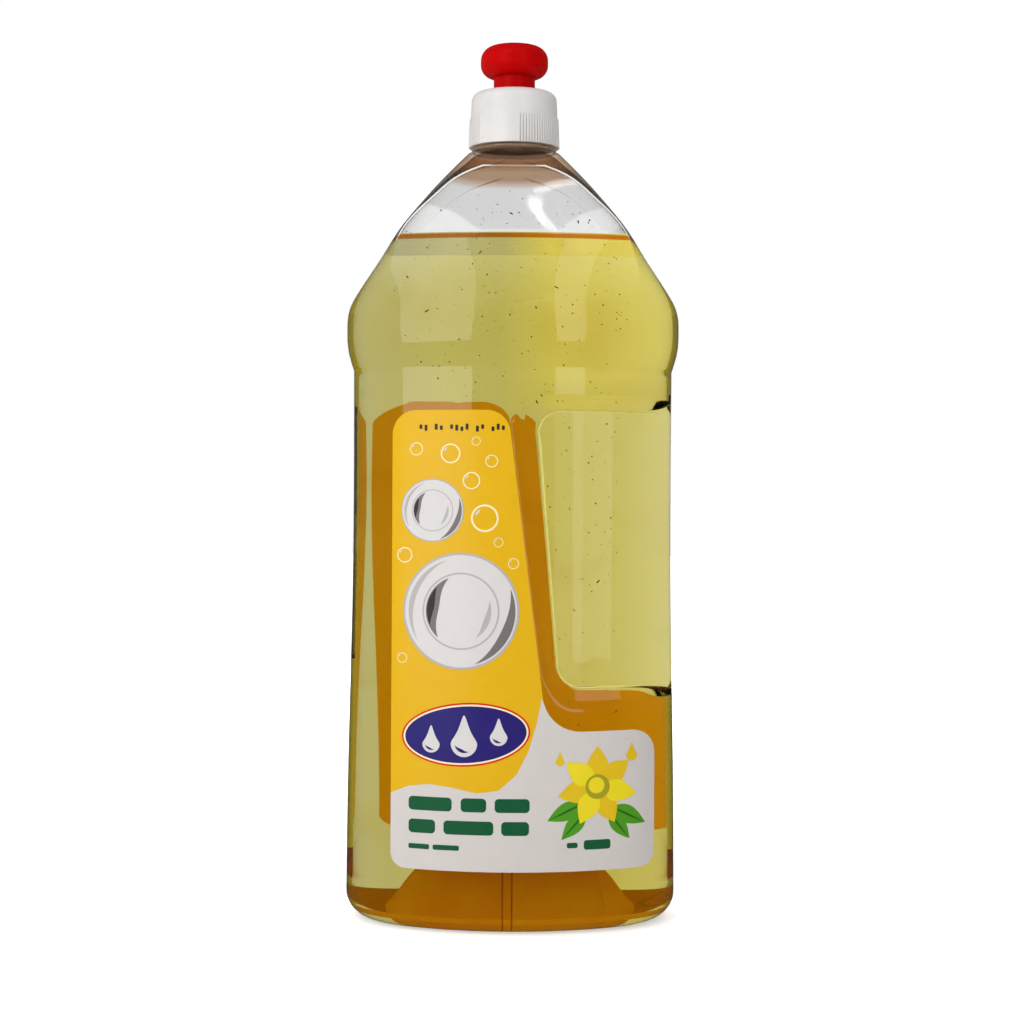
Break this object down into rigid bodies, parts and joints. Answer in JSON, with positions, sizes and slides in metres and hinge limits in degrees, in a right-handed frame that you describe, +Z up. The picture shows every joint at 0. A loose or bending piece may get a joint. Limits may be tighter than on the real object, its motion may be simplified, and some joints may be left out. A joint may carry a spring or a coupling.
{
  "type": "dish soap bottle",
  "caption": "Clear oval squeeze bottle of yellow dish soap with a grip recess, front and back labels, a ribbed screw cap and a push-pull spout.",
  "frame": {"origin": "middle of the foot, on the surface the bottle stands on, on the axis of the neck", "axes": "+Z up along the neck, -Y out of the front label, +X to the side with the grip recess"},
  "size_m": [0.1158, 0.08, 0.3036],
  "materials": {
    "clear_plastic": "clear blown plastic, glossy",
    "soap": "clear yellow-green liquid",
    "label_film": "printed film, satin",
    "seal_foam": "pressed foam",
    "cap_plastic": "moulded, satin",
    "knob_plastic": "moulded, glossy"
  },
  "bodies": {
    "bottle": {"bottle": "clear_plastic", "soap": "soap", "front_label": "label_film", "back_label": "label_film"},
    "seal": {"cap_seal": "seal_foam"},
    "cap": {"cap": "cap_plastic"},
    "knob": {"pull_knob": "knob_plastic"}
  },
  "joints": [
    {"name": "cap_lift", "type": "slide", "parent": "bottle", "child": "seal", "axis": [0, 0, 1], "range_m": [0, 0.0064]},
    {"name": "cap_turn", "type": "hinge", "parent": "seal", "child": "cap", "pos_m": [0, 0, 0.2771], "axis": [0, 0, 1], "range_deg": [0, 540]},
    {"name": "knob_pull", "type": "slide", "parent": "cap", "child": "knob", "axis": [0, 0, 1], "range_m": [0, 0.005]}
  ],
  "couplings": [
    {"joint": "cap_lift", "follows": "cap_turn", "m_per_rad": 0.000673}
  ]
}
